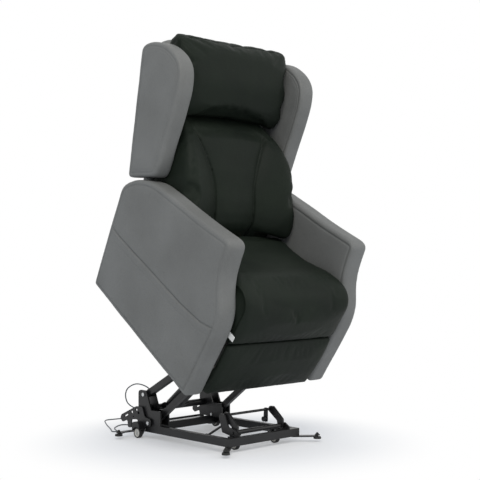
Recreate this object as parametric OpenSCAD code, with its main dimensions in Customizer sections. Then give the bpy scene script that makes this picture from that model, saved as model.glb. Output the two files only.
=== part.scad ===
// Lift recliner chair, shown raised.
// Frame: +Z up, the sitter faces -Y, X = 0 is the plane of symmetry, Z = 0 is the floor,
// and the origin is on the floor under the middle of the chair.
// The base stands on the floor.  Everything on the seat unit is drawn in "seat coordinates":
// fwd (towards the sitter's feet) and up, measured from the lower rear corner of a side panel.

/* [Overall] */
// Width over both arm panels
chair_w = 740; // [700:5:800]
// Forward tilt of the raised seat unit
lift_tilt = 35.8; // [35.6:0.1:36]
// Lower rear corner of the raised side panels, distance behind the origin
corner_y = 500; // [499:1:501]
// Lower rear corner of the raised side panels, height
corner_z = 619; // [618:1:620]

/* [Upholstery] */
// Thickness of a padded arm panel
arm_t = 84; // [70:1:92]
// Thickness of a wing
wing_t = 75; // [60:1:80]
// How far the outer face of a wing stands in from that of its arm
wing_step = 10; // [9:0.5:20]
// Radius of the rolled edges of arms and wings
roll_r = 12; // [6:1:16]
// Gap between upholstered pieces that move past each other
soft_gap = 3; // [2:0.5:5]
// Half width of the sewn centre panel of the back at its top
panel_top = 206; // [190:2:220]
// Half width of the sewn centre panel of the back at its waist
panel_waist = 104; // [90:2:120]
// Depth of the sewn channels in the back cushion
channel_d = 12; // [4:1:16]

/* [Base] */
// Half width over the base rails
base_half_w = 189; // [189:1:192]
// Front face of the base, in front of the origin
base_front = 92; // [90:1:96]
// Rear face of the base, behind the origin
base_rear = 396; // [394:1:400]
// Height of the rail tube
rail_h = 30; // [25:1:32]
// Width of the rail tube
rail_w = 20; // [16:1:20]
// Height of the underside of the rails
rail_z = 25; // [24:1:27]
// Steel plate thickness of towers and brackets
plate_t = 6; // [4:0.5:7]
// Height of the underside of the stabiliser feet
foot_z = 12; // [11:1:15]
// Diameter of a stabiliser foot
foot_d = 31; // [20:1:34]
// Width of a tower over its two plates
tower_w = 48; // [48:1:54]

/* [Castors] */
// Castor wheel diameter
wheel_d = 42; // [38:1:44]
// Castor wheel width
wheel_w = 16; // [12:1:18]
// Axle diameter of a castor
axle_d = 6; // [4:0.5:8]
// Distance of a front castor from the plane of symmetry
castor_x = 107; // [104:1:109]
// Trail of a front castor
castor_trail = 16; // [12:1:18]
// Radial clearance of a running pivot
run_gap = 0.05; // [0.02:0.01:0.1]

/* [Linkage] */
// Diameter of the lift link pins
pin_d = 12; // [8:0.5:14]
// Side of the upper lift link tube
upper_tube = 25; // [20:1:26]
// Height of the lower lift link tube
lower_tube_h = 24; // [20:1:24]
// Width of the lower lift link tube
lower_tube_w = 18; // [12:1:18]
// Free play of the seat round the pin of the lower links
open_play = 4; // [4:0.5:6]
// Free play of an actuator's rod pin in its bracket
rod_play = 4.7; // [4.6:0.1:6]
// Diameter of the cross tubes
cross_d = 25; // [20:1:26]
// Lift actuator housing diameter
actuator_d = 32; // [26:1:36]
// Lift actuator rod diameter
rod_d = 16; // [12:1:20]
// Diameter of the electric leads
lead_d = 5; // [4:0.5:6]

/* [Hidden] */
$fn = 48;

// ---- colours ----
steel_black = [0.09, 0.09, 0.10];
zinc = [0.75, 0.76, 0.78];
grey_skin = [0.44, 0.45, 0.44];
dark_skin = [0.14, 0.16, 0.14];
rubber_black = [0.12, 0.12, 0.12];

// The base is drawn from its own datum; the origin is under the middle of the whole chair
origin_y = 130.7;

// ---- base points: [y, z] ----
upper_pivot = [408, 172];
lower_pivot = [366, 63];
actuator_pivot = [415, 112];
rocker_pivot = [-56, 68];
rocker_top = [0, 127];
rear_wheel_c = [416, wheel_d / 2];
castor_stem_y = -22;

// ---- seat points: [fwd, up] ----
upper_seat = [535, 107];
lower_seat = [573, 68];
actuator_seat = [510, 120];
recline_pivot = [147, 269];
back_act_seat = [430, 165];
back_act_lever = [110, 190];
leg_pivot = [546, 204];
leg_elbow = [440, 166];
leg_board = [645, 84];

arm_in = chair_w / 2 - arm_t;              // inner face of an arm panel
wing_out = chair_w / 2 - wing_step;
wing_in = wing_out - wing_t;
back_lean = 25.4;                          // lean of the rear of the backrest from "up"
back_foot = [-7, 300];                     // lower end of the rear face of the backrest

// ---- general helpers ----
function to_base(p) = [                    // seat point -> base point [y, z]
  corner_y - p[0] * cos(lift_tilt) - p[1] * sin(lift_tilt),
  corner_z - p[0] * sin(lift_tilt) + p[1] * cos(lift_tilt)];

// Points of an outline whose corners [x, y, radius] are rounded
function corner_arc(a, b, c, r, n) = r < 0.01 ? [b] :
  let (u = (a - b) / norm(a - b), v = (c - b) / norm(c - b),
       h = acos(u * v) / 2, t = r / tan(h),
       p = b + u * t, q = b + v * t, o = b + (u + v) / norm(u + v) * r / sin(h),
       a0 = atan2(p[1] - o[1], p[0] - o[0]), a1 = atan2(q[1] - o[1], q[0] - o[0]),
       da = ((a1 - a0 + 540) % 360) - 180)
  [for (k = [0 : n]) o + r * [cos(a0 + da * k / n), sin(a0 + da * k / n)]];
function outline(pts, n = 5) = [
  for (i = [0 : len(pts) - 1])
    let (m = len(pts), a = pts[(i + m - 1) % m], b = pts[i], c = pts[(i + 1) % m])
    each corner_arc([a[0], a[1]], [b[0], b[1]], [c[0], c[1]], b[2], n)];

// The rounded outline moved inwards by d: the corners [x, y, radius] run anticlockwise
function left_of(a, b) = [a[1] - b[1], b[0] - a[0]] / norm(b - a);
function inset_corner(a, b, c, d) = let (m = left_of(a, b), n = left_of(b, c)) b + (m + n) * d / (1 + m * n);
function inset(pts, d, n = 5) = outline([
  for (i = [0 : len(pts) - 1])
    let (m = len(pts), a = pts[(i + m - 1) % m], b = pts[i], c = pts[(i + 1) % m])
    concat(inset_corner([a[0], a[1]], [b[0], b[1]], [c[0], c[1]], d), b[2] < 0.01 ? 0 : max(b[2] - d, 1))], n);

// Skin through rings of equal point count, ends closed
module skin(rings) {
  m = len(rings[0]);
  n = len(rings);
  polyhedron(
    points = [for (r = rings) each r],
    faces = concat(
      [[for (i = [m - 1 : -1 : 0]) i]],
      [for (j = [0 : n - 2]) for (i = [0 : m - 1]) each [
        [j * m + i, j * m + (i + 1) % m, (j + 1) * m + (i + 1) % m],
        [j * m + i, (j + 1) * m + (i + 1) % m, (j + 1) * m + i]]],
      [[for (i = [0 : m - 1]) (n - 1) * m + i]]),
    convexity = 8);
}

// Padded panel: a side outline [fwd, up, radius] carried across the width through stations [x, inset]
module padded(pts, stations, n = 4) {
  skin([for (s = stations) [for (q = inset(pts, s[1], n)) [s[0], -q[0], q[1]]]]);
}
// Stations of a panel from x0 to x1 whose edges are rolled with radius r
function rolled(x0, x1, r, n = 3) = concat(
  [for (k = [0 : n]) let (a = 90 * k / n) [x0 + r * (1 - cos(a)), r * (1 - sin(a))]],
  [for (k = [n : -1 : 0]) let (a = 90 * k / n) [x1 - r * (1 - cos(a)), r * (1 - sin(a))]]);
// Stations of a cushion of half width w, drawn in at its sides by c and crowned by k
function crowned(w, c, k, n = 7) = [
  for (i = [-n : n]) let (s = i / n, e = pow(abs(s), 5))
    [w * sin(90 * s), c * (1 - sqrt(max(0, 1 - e))) + k * s * s]];

module on_base() translate([0, -origin_y, 0]) children();
module seat_frame() {
  translate([0, corner_y - origin_y, corner_z]) rotate([lift_tilt, 0, 0]) children();
}
// Extrusion of a seat-coordinate outline from x0 to x1
module slab(x0, x1) translate([x1, 0, 0]) rotate([90, 0, -90]) linear_extrude(x1 - x0) children();
// Extrusion of a base outline [y, z] from x0 to x1
module plate(x0, x1) translate([x0, 0, 0]) rotate([90, 0, 90]) linear_extrude(x1 - x0) children();
// Round bar along X at a base point [y, z], or at a seat point
module rod_x(p, x0, x1, d) translate([x0, p[0], p[1]]) rotate([0, 90, 0]) cylinder(d = d, h = x1 - x0);
module seat_rod(p, x0, x1, d) rod_x([-p[0], p[1]], x0, x1, d);
// One side of the symmetry plane (-1 = sitter's right)
module flip(s) if (s < 0) mirror([1, 0, 0]) children(); else children();

// Square tube or flat bar between two points [a, b] of a plane, from x0 to x1, ends rounded
module link_bar(p, q, x0, x1, w) {
  d = q - p;
  translate([x0, p[0], p[1]]) rotate([atan2(d[1], d[0]), 0, 0]) {
    translate([0, 0, -w / 2]) cube([x1 - x0, norm(d), w]);
    rotate([0, 90, 0]) cylinder(d = w, h = x1 - x0);
    translate([0, norm(d), 0]) rotate([0, 90, 0]) cylinder(d = w, h = x1 - x0);
  }
}
function seat_pt(p) = [-p[0], p[1]];

// ================= base =================
tower_x1 = base_half_w;                    // outer face of the tower
tower_x0 = tower_x1 - tower_w;             // inner face of the tower
link_x0 = tower_x0 + plate_t + 5;          // inner face of the upper link
lower_x0 = tower_x0 + plate_t + 2;         // inner face of the lower link
chassis_x0 = link_x0 + upper_tube + 3;     // inner face of a chassis plate
rail_top = rail_z + rail_h;

module rail_side(s) color(steel_black) on_base() flip(s) difference() {
  translate([base_half_w - rail_w, -base_front + rail_w, rail_z])
    cube([rail_w, base_rear + base_front - 2 * rail_w, rail_h]);
  translate([base_half_w - rail_w + 2, -base_front, rail_z + 2]) cube([rail_w - 4, 600, rail_h - 4]);
}
module rail_cross(y) color(steel_black) on_base() difference() {
  translate([-base_half_w, y, rail_z]) cube([2 * base_half_w, rail_w, rail_h]);
  translate([-base_half_w + 2, y + 2, rail_z + 2]) cube([2 * base_half_w - 4, rail_w - 4, rail_h - 4]);
}

tower_lug_r = 17;
module tower_outline() polygon(outline([
  [304, rail_top, 0], [442, rail_top, 0], [442, upper_pivot[1] + tower_lug_r, 14],
  [upper_pivot[0] - 14, upper_pivot[1] + tower_lug_r, 14], [362, 113, 4], [304, 113, 5]]));
module tower(s) color(steel_black) on_base() flip(s) {
  difference() {
    union() {
      plate(tower_x1 - plate_t, tower_x1) tower_outline();
      plate(tower_x0, tower_x0 + plate_t) tower_outline();
    }
    for (p = [upper_pivot, lower_pivot]) rod_x(p, tower_x0 - 1, tower_x1 + 1, pin_d + 2 * run_gap);
    rod_x(actuator_pivot, tower_x0 - 1, tower_x0 + plate_t + 1, cross_d + 3 + 2 * run_gap);
  }
  translate([tower_x0 + plate_t, 442 - plate_t, rail_top])
    cube([tower_x1 - tower_x0 - 2 * plate_t, plate_t, 70]);
}
module rear_cross_tube() color(steel_black) on_base() {
  difference() {
    rod_x(actuator_pivot, -tower_x0 - plate_t, tower_x0 + plate_t, cross_d + 3);
    rod_x(actuator_pivot, -tower_x0 - plate_t - 1, tower_x0 + plate_t + 1, cross_d - 2);
  }
  for (x = [act_x - actuator_d / 2 - plate_t - 1, act_x + actuator_d / 2 + 1])
    difference() {
      link_bar(actuator_pivot, act_hinge, x, x + plate_t, 24);
      rod_x(actuator_pivot, x - 1, x + plate_t + 1, cross_d);
      rod_x(act_hinge, x - 1, x + plate_t + 1, 10 + 2 * run_gap);
    }
  rod_x(act_hinge, act_x - actuator_d / 2 - plate_t - 4, act_x + actuator_d / 2 + plate_t + 4, 10);
}

// Stabiliser legs: flat bars from the frame corners to the feet
front_foot = [245, -136];
rear_foot = [283, 448];
leg_z = rail_z - 5;                        // underside of the stabiliser bars
// Flat bar through a list of points [x, y], drilled at its last point
function band_edge(pts, i, d) = let (n = len(pts) - 1)
  i == 0 ? pts[0] + left_of(pts[0], pts[1]) * d :
  i == n ? pts[n] + left_of(pts[n - 1], pts[n]) * d : inset_corner(pts[i - 1], pts[i], pts[i + 1], d);
function band(pts, w) = let (n = len(pts) - 1) concat(
  [for (i = [0 : n]) concat(band_edge(pts, i, -w / 2), w / 2 - 0.5)],
  [for (i = [n : -1 : 0]) concat(band_edge(pts, i, w / 2), w / 2 - 0.5)]);
module stabiliser(pts, w) translate([0, 0, leg_z]) linear_extrude(5 - run_gap) difference() {
  polygon(outline(band(pts, w)));
  translate(pts[len(pts) - 1]) circle(d = 8 + 2 * run_gap);
}
module outrigger_front(s) color(steel_black) on_base() flip(s)
  stabiliser([[base_half_w - 24, -base_front + 24], front_foot], 24);
module outrigger_rear(s) color(steel_black) on_base() flip(s)
  stabiliser([[base_half_w - 36, base_rear - 14], [base_half_w - 24, 442], [212, 462], [250, 464], rear_foot], 22);
module foot(p) translate([p[0], p[1], foot_z]) {
  rotate_extrude() polygon([[0, 0], [foot_d / 2 - 1, 0], [foot_d / 2, 1.5],
    [foot_d / 2 - 1, leg_z - foot_z - run_gap], [0, leg_z - foot_z - run_gap]]);
  cylinder(d = 8, h = leg_z - foot_z + 16);
  translate([0, 0, leg_z + 5 - foot_z]) {
    cylinder(d = 20, h = 4);
    cylinder(d = 13, h = 8, $fn = 6);
  }
}
module stabiliser_feet() color(rubber_black) on_base()
  for (s = [-1, 1]) for (p = [front_foot, rear_foot]) foot([s * p[0], p[1]]);

lug_x0 = 130;
lug_back = [rocker_pivot[0] + 13, rail_top + 1];
lug_front = [
  [rocker_pivot[0] - 13, rocker_pivot[1] + 12, 10], [-base_front, rail_top + 10, 3],
  [-base_front, rail_top, 0], [-base_front + rail_w, rail_top, 0]];
module rocker_lug(pts) difference() {
  plate(lug_x0, lug_x0 + plate_t) polygon(outline(concat(lug_front, pts)));
  rod_x(rocker_pivot, lug_x0 - 1, lug_x0 + plate_t + 1, 10 + 2 * run_gap);
}
// Stay from the tall right lug to the inner face of the side rail
stay_top = [lug_x0 + plate_t / 2, 8, 86];
stay_low = [base_half_w - rail_w - 3, 50, 50];
module rocker_lugs() color(steel_black) on_base() {
  rocker_lug([concat(lug_back, 3), [rocker_pivot[0] + 13, rocker_pivot[1] + 12, 10]]);
  flip(-1) {
    rocker_lug([concat(lug_back, 3), [2, 64, 5], [21, 122, 8], [14, 133, 8], [-10, 133, 8], [-32, 86, 8]]);
    d = stay_low - stay_top;
    translate(stay_top) rotate([0, acos(d[2] / norm(d)), atan2(d[1], d[0])]) cylinder(d = 9, h = norm(d));
    translate([stay_low[0] - 3, stay_low[1] - 9, stay_low[2] - 10]) cube([6 - run_gap, 18, 16]);
  }
}

// Pins welded into the towers; the links turn on them
module link_pin(p, x1, collars) {
  rod_x(p, tower_x0 - 4, x1, pin_d);
  for (g = collars) rod_x(p, g[0], g[1], pin_d + 3);
}
module link_pins_base() color(zinc) on_base() for (s = [-1, 1]) flip(s) {
  link_pin(upper_pivot, tower_x1 + 4, [
    [tower_x0 + plate_t + run_gap, link_x0 - 0.3],
    [link_x0 + upper_tube + 0.3, tower_x1 - plate_t - run_gap],
    [tower_x1 + run_gap, tower_x1 + 5]]);
  // the lower pin runs on through the pedal lever
  link_pin(lower_pivot, lever_x + 12, [
    [lower_x0 + lower_tube_w + 0.3, tower_x1 - plate_t - run_gap],
    [tower_x1 + run_gap, lever_x - 0.3],
    [lever_x + 5.3, lever_x + 10]]);
}

// ================= lift links =================
module tube_link(p, q, x0, w, h, hole_p, hole_q) {
  d = q - p;
  a = atan2(d[1], d[0]);
  difference() {
    link_bar(p, q, x0, x0 + w, h);
    // hollow of the rectangular tube
    translate([x0 + 2, p[0], p[1]]) rotate([a, 0, 0])
      translate([0, h, -h / 2 + 2]) cube([w - 4, norm(d) - 2 * h, h - 4]);
    rod_x(p, x0 - 1, x0 + w + 1, hole_p);
    rod_x(q, x0 - 1, x0 + w + 1, hole_q);
  }
}
module upper_link(s) color(steel_black) on_base() flip(s)
  tube_link(upper_pivot, to_base(upper_seat), link_x0, upper_tube, upper_tube,
    pin_d + 2 * run_gap, pin_d + 2 * run_gap);
module lower_link(s) color(steel_black) on_base() flip(s)
  tube_link(lower_pivot, to_base(lower_seat), lower_x0, lower_tube_w, lower_tube_h,
    pin_d + 2 * run_gap, pin_d + 2 * run_gap);
// Seat pins: the upper pair turns in the chassis plates, the lower pair rides on the lower links
module link_pins_lower() color(zinc) on_base() for (s = [-1, 1]) flip(s) {
  p = to_base(lower_seat);
  rod_x(p, lower_x0 - 3, chassis_x0 + plate_t + 5, pin_d);
  rod_x(p, lower_x0 + lower_tube_w + run_gap, chassis_x0 - 1, pin_d + 8);
}
module link_pins_seat() color(zinc) on_base() for (s = [-1, 1]) flip(s) {
  p = to_base(upper_seat);
  rod_x(p, link_x0 - 3, chassis_x0 + plate_t + 4, pin_d);
  rod_x(p, link_x0 + upper_tube + 0.3, chassis_x0 - run_gap, pin_d + 8);
  rod_x(p, link_x0 - 7, link_x0 - 0.3, pin_d + 8);
}

// ================= lift actuator =================
act_x = -70;
act_hinge = [actuator_pivot[0] - 22, actuator_pivot[1] + 10];
act_end = to_base(actuator_seat);
act_len = norm(act_end - act_hinge);
act_ang = atan2(act_end[1] - act_hinge[1], act_end[0] - act_hinge[0]);
act_body_l = 300;
module on_actuator() on_base() translate([act_x, act_hinge[0], act_hinge[1]]) rotate([act_ang, 0, 0]) children();
module lift_actuator() color(rubber_black) on_actuator() difference() {
  union() {
    rotate([0, 90, 0]) cylinder(d = 19, h = actuator_d, center = true);
    translate([0, 8, 0]) rotate([-90, 0, 0]) cylinder(d = actuator_d, h = act_body_l - 8);
    translate([0, act_body_l - 14, 0]) rotate([-90, 0, 0]) cylinder(d = actuator_d + 5, h = 14);
  }
  rotate([0, 90, 0]) cylinder(d = 10 + 2 * run_gap, h = actuator_d + 2, center = true);
  translate([0, 30, 0]) rotate([-90, 0, 0]) cylinder(d = rod_d + 2 * run_gap, h = act_body_l);
}
module lift_motor() color(rubber_black) on_actuator()
  translate([actuator_d / 2 + 22, 14, 6]) {
    translate([0, 22, 0]) rotate([-90, 0, 0]) cylinder(d = 42, h = 100);
    translate([-21.7, 0, -21]) cube([43, 24, 42]);
  }
module lift_rod() color(zinc) on_actuator() {
  union() {
    translate([0, act_body_l - 110, 0]) rotate([-90, 0, 0]) cylinder(d = rod_d, h = act_len - act_body_l + 110 - 8);
    translate([0, act_len, 0]) rotate([0, 90, 0]) cylinder(d = 22, h = 18, center = true);
    translate([0, act_len, 0]) rotate([0, 90, 0]) cylinder(d = 10, h = 42, center = true);
  }
}

// ================= seat chassis =================
module chassis(s) color(steel_black) seat_frame() flip(s) difference() {
  slab(chassis_x0, chassis_x0 + plate_t) polygon(outline([
    [60, 150, 4], [430, 150, 20], [508, 86, 14], [548, 44, 14], [596, 44, 20], [606, 120, 20],
    [634, 215, 6], [634, 280, 6], [560, 280, 12], [530, 236, 20], [480, 186, 20], [60, 186, 4]]));
  seat_rod(upper_seat, chassis_x0 - 1, chassis_x0 + plate_t + 1, pin_d + 2 * run_gap);
  seat_rod(lower_seat, chassis_x0 - 1, chassis_x0 + plate_t + 1, pin_d + 2 * open_play);
  seat_rod(leg_pivot, chassis_x0 - 1, chassis_x0 + plate_t + 1, 10 + 2 * run_gap);
  for (f = [160 : 90 : 430]) seat_rod([f, 168], chassis_x0 - 1, chassis_x0 + plate_t + 1, 14);
}
rear_tube = [84, 168];
mid_tube = [510, 166];
front_tube = [604, 258];
module chassis_tubes() color(steel_black) seat_frame() {
  for (p = [rear_tube, front_tube]) for (s = [-1, 1]) flip(s)
    difference() {
      seat_rod(p, chassis_x0 + plate_t, arm_in - 22, cross_d);
      seat_rod(p, chassis_x0 + plate_t - 1, arm_in - 21, cross_d - 4);
    }
  for (p = [rear_tube, mid_tube, front_tube]) difference() {
    seat_rod(p, -chassis_x0, chassis_x0, cross_d);
    seat_rod(p, -chassis_x0 - 1, chassis_x0 + 1, cross_d - 4);
  }
  // clevis of the lift actuator and of the back actuator
  for (x = [act_x - 11 - plate_t, act_x + 11]) difference() {
    link_bar(seat_pt(mid_tube), seat_pt(actuator_seat), x, x + plate_t, 32);
    seat_rod(mid_tube, x - 1, x + plate_t + 1, cross_d - 1);
    seat_rod(actuator_seat, x - 1, x + plate_t + 1, 10 + 2 * rod_play);
  }
  for (x = [bact_x - 14 - plate_t, bact_x + 14]) difference() {
    link_bar(seat_pt(mid_tube), seat_pt(back_act_seat), x, x + plate_t, 28);
    seat_rod(mid_tube, x - 1, x + plate_t + 1, cross_d - 1);
    seat_rod(back_act_seat, x - 1, x + plate_t + 1, 8 + 2 * run_gap);
  }
  seat_rod(back_act_seat, bact_x - 14 - plate_t - 3, bact_x + 14 + plate_t + 3, 8);
}

seat_box_x = arm_in - 0.3;
module seat_box() color([0.55, 0.45, 0.33]) seat_frame() {
  for (s = [-1, 1]) flip(s) slab(arm_in - 22, seat_box_x) difference() {
    polygon(outline([[65, 150, 3], [112, 150, 10], [122, 190, 10], [560, 196, 10], [570, 232, 10],
      [636, 240, 3], [636, 286, 3], [185, 286, 10], [170, 300, 12], [120, 300, 12], [65, 196, 10]]));
    translate(recline_pivot) circle(d = 12 + 2 * run_gap);
  }
  slab(-seat_box_x, seat_box_x) polygon([[250, 286.3], [636, 286.3], [636, 298], [250, 298]]);
}
seat_half = arm_in - soft_gap;
seat_outline = [
  [262, 298.3, 6], [636.3, 298.3, 0], [636.3, 232, 3], [683, 229, 10], [685, 441, 80], [560, 442, 250],
  [434, 408, 600], [320, 393, 800], [206, 386, 14], [206, 338, 12]];
module seat_cushion() color(dark_skin) seat_frame()
  padded(seat_outline, crowned(seat_half, 10, 3), 5);
module care_tab() color("white") seat_frame()
  translate([-arm_in + 0.3, -692, 259]) cube([0.8, 44, 22]);

// ================= side panels =================
arm_outline = [
  [0, 0, 8], [678, 0, 6], [674, 195, 1500], [670, 298, 230], [652, 360, 160], [606, 419, 240],
  [582, 468, 260], [567, 527, 800], [556, 584, 26], [524, 587, 80], [379, 563, 1500], [253, 550, 1500],
  [90, 530, 290], [20, 505, 270], [-40, 462, 200], [-76, 412, 60]];
module side_panel(s) color(grey_skin) seat_frame() flip(s)
  padded(arm_outline, rolled(arm_in, chair_w / 2, roll_r), 4);

// ================= backrest =================
function back_pt(up, off = 0) = [back_foot[0] - (up - back_foot[1]) * tan(back_lean) + off, up];
shell_top = 955;
shell_t = 62;
module back_shell() color(grey_skin) seat_frame()
  padded([
    concat(back_pt(300), 10), concat(back_pt(300, shell_t), 10), concat(back_pt(shell_top, shell_t), 20),
    concat(back_pt(shell_top), 24)],
    rolled(-(wing_in - 0.3), wing_in - 0.3, 5, 2));
module back_arms() color(steel_black) seat_frame() for (s = [-1, 1]) flip(s) {
  difference() {
    slab(arm_in - 22 - 1 - plate_t, arm_in - 23) polygon(outline([
      [recline_pivot[0] - 22, recline_pivot[1] - 24, 18], [recline_pivot[0] + 22, recline_pivot[1] - 24, 18],
      [recline_pivot[0] + 22, recline_pivot[1] + 22, 18], [78, 330, 12], [42, 388, 6],
      concat(back_pt(388, shell_t + 0.2), 0), concat(back_pt(301, shell_t + 0.2), 0)]));
    seat_rod(recline_pivot, arm_in - 40, arm_in, 12 + 2 * run_gap);
  }
  seat_rod(recline_pivot, arm_in - 34, arm_in - 2, 12);
}
module back_lever_tube() color(steel_black) seat_frame() {
  difference() {
    seat_rod(recline_pivot, -arm_in + 29.3, arm_in - 29.3, 24);
    for (s = [-1, 1]) flip(s) seat_rod(recline_pivot, arm_in - 35, arm_in, 12 + 2 * run_gap);
  }
  for (x = [bact_x - 9 - plate_t, bact_x + 9]) difference() {
    link_bar(seat_pt(recline_pivot), seat_pt(back_act_lever), x, x + plate_t, 28);
    seat_rod(back_act_lever, x - 1, x + plate_t + 1, 8 + 2 * (rod_play - 0.8));
  }
}

back_half = wing_in - soft_gap;
// Back cushion: horizontal sections [up, front fwd at the centre, how far the side bolsters stand proud,
// half width].  The rows under the bolsters pass between the back arms, behind the seat cushion.
low_half = arm_in - 36;
back_rows = [
  [312, 188, 0, low_half - 16], [324, 193, 0, low_half - 6], [372, 197, 0, low_half], [391, 197, 0, low_half],
  [398, 200, 52, back_half - 16], [408, 202, 66, back_half - 9], [430, 197, 75, back_half - 5],
  [469, 178, 83, back_half - 4], [510, 151, 88, back_half - 4], [550, 119, 91, back_half - 4],
  [600, 80, 92, back_half - 6], [640, 43, 90, back_half - 11], [668, 17, 84, back_half - 18],
  [694, -9, 68, back_half - 28], [714, -28, 44, back_half - 42], [727, -48, 20, back_half - 66],
  [734, -74, 2, back_half - 100]];
function seam_x(up) = panel_waist + (panel_top - panel_waist) * pow(max(0, (up - 540) / 200), 1.6);
function back_row(r) = let (
    w = r[3], sx = min(seam_x(r[0]), w - 50), span = w - 24 - sx,
    rear = back_pt(r[0], shell_t + 0.3)[0], side_d = min(30, (r[1] - rear) * 0.45),
    // [x, how far the face lies behind the centre's]
    cols = concat(
      [[w, side_d - r[2]], [w - 5, 12 - r[2]], [w - 13, 3 - r[2]]],
      [for (t = [1, 0.75, 0.5, 0.25]) [sx + span * t, -r[2] * t - 16 * t * (1 - t)]],
      [[sx + 8, 2], [sx, channel_d], [sx - 12, 1], [sx * 0.6, -3], [sx * 0.2, -5]]))
  concat(
    [for (c = cols) [-c[0], -(r[1] - c[1]), r[0]]],
    [for (i = [len(cols) - 1 : -1 : 0]) [cols[i][0], -(r[1] - cols[i][1]), r[0]]],
    [[w, -(rear + 6), r[0]], [w - 14, -rear, r[0]], [-w + 14, -rear, r[0]], [-w, -(rear + 6), r[0]]]);
module back_cushion() color(dark_skin) seat_frame() skin([for (r = back_rows) back_row(r)]);

pillow_half = back_half;
pillow_outline = [
  concat(back_pt(746, shell_t + 0.3), 6), [-78, 744, 20], [-58, 790, 40], [-84, 890, 160], [-150, 985, 60], [-196, 1016, 24],
  [-246, 1008, 24], [-268, 966, 8],
  concat(back_pt(946, shell_t + 0.3), 0)];
module head_pillow() color(dark_skin) seat_frame()
  skin([for (s = crowned(pillow_half, 20, 3)) [for (q = inset(pillow_outline, s[1], 4))
    let (drop = 22 * pow(s[0] / pillow_half, 2) * (1016 - q[1]) / 272)
    [s[0], -(q[0] + drop * tan(back_lean)), q[1] - drop]]]);

wing_outline = [
  [-77, 450, 10], [58, 540, 22], [57, 586, 280], [38, 668, 1200], [20, 771, 1200], [-6, 884, 240],
  [-46, 955, 95], [-106, 975, 140], [-178, 977, 140], [-256, 944, 110], [-297, 904, 32]];
module wing(s) color(grey_skin) seat_frame() flip(s)
  padded(wing_outline, rolled(wing_in, wing_out, roll_r), 4);

// ================= back actuator =================
bact_x = 60;
function seat_ang(p, q) = atan2(q[1] - p[1], -(q[0] - p[0]));
bact_len = norm(back_act_lever - back_act_seat);
module on_bact() seat_frame() translate([bact_x, -back_act_seat[0], back_act_seat[1]])
  rotate([seat_ang(back_act_seat, back_act_lever), 0, 0]) children();
module back_actuator() color(rubber_black) on_bact() difference() {
  union() {
    rotate([0, 90, 0]) cylinder(d = 22, h = 24, center = true);
    translate([0, 6, 0]) rotate([-90, 0, 0]) cylinder(d = 26, h = 180);
  }
  rotate([0, 90, 0]) cylinder(d = 8 + 2 * run_gap, h = 30, center = true);
  translate([0, 24, 0]) rotate([-90, 0, 0]) cylinder(d = 12 + 2 * run_gap, h = 180);
}
module back_rod() color(zinc) on_bact() {
  translate([0, 110, 0]) rotate([-90, 0, 0]) cylinder(d = 12, h = bact_len - 110);
  translate([0, bact_len, 0]) rotate([0, 90, 0]) cylinder(d = 18, h = 16, center = true);
  translate([0, bact_len, 0]) rotate([0, 90, 0]) cylinder(d = 8, h = 36, center = true);
}

// ================= legrest =================
leg_x = 214;
leg_t = 5;
module flat_link(p, q, x, w, dp, dq) difference() {
  link_bar(seat_pt(p), seat_pt(q), x, x + leg_t, w);
  seat_rod(p, x - 1, x + leg_t + 1, dp);
  seat_rod(q, x - 1, x + leg_t + 1, dq);
}
module legrest_link(s) color(steel_black) seat_frame() flip(s) {
  flat_link(leg_pivot, leg_elbow, leg_x, 24, 10 + 2 * run_gap, 10 + 2 * run_gap);
  seat_rod(leg_pivot, chassis_x0 - 3, leg_x + leg_t + 3, 10);
  seat_rod(leg_pivot, chassis_x0 + plate_t + 0.3, leg_x - run_gap, 18);
}
module legrest_strut(s) color(steel_black) seat_frame() flip(s) {
  flat_link(leg_elbow, leg_board, leg_x + leg_t + 2, 24, 10 + 2 * run_gap, 10 + 2 * run_gap);
  seat_rod(leg_elbow, leg_x - 3, leg_x + 2 * leg_t + 5, 10);
  seat_rod(leg_elbow, leg_x + leg_t + 0.3, leg_x + leg_t + 2 - run_gap, 18);
}
board_half = 255;
board_t = 12;
board_low = 12;
board_top = 212;
function board_rear(up) = 661 - (up - board_low) / 40;
module legrest_board() color([0.55, 0.45, 0.33]) seat_frame() {
  slab(-board_half, board_half) polygon([
    [board_rear(board_low), board_low], [board_rear(board_low) + board_t, board_low],
    [board_rear(board_top) + board_t, board_top], [board_rear(board_top), board_top]]);
  for (s = [-1, 1]) flip(s) {
    difference() {
      slab(leg_x + 2 * leg_t + 6, leg_x + 2 * leg_t + 6 + leg_t) polygon(outline([
        [631, 70, 10], [662, 60, 0], [660.5, 120, 0], [631, 98, 10]]));
      seat_rod(leg_board, leg_x, leg_x + 40, 10 + 2 * run_gap);
    }
    seat_rod(leg_board, leg_x + leg_t - 1, leg_x + 3 * leg_t + 9, 10);
  }
}
// The pad wraps the edges of its board, which lies in a pocket of the pad's rear
pad_low = -3;
pad_top = 226;
pad_corners = [
  [board_rear(pad_low), pad_low, 3], [682, pad_low, 12], [689, 80, 500], [688, 160, 500], [682, pad_top, 14],
  [board_rear(pad_top), pad_top, 3]];
module legrest_pad() color(dark_skin) seat_frame() difference() {
  skin([for (s = crowned(seat_half - 4, 4, 1)) [for (v = inset(pad_corners, s[1], 4)) [s[0], -v[0], v[1]]]]);
  slab(-board_half - 0.3, board_half + 0.3) polygon([
    [board_rear(board_low) - 5, board_low - 0.3], [board_rear(board_low) + board_t + 0.3, board_low - 0.3],
    [board_rear(board_top) + board_t + 0.3, board_top + 0.3], [board_rear(board_top) - 5, board_top + 0.3]]);
}

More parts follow.
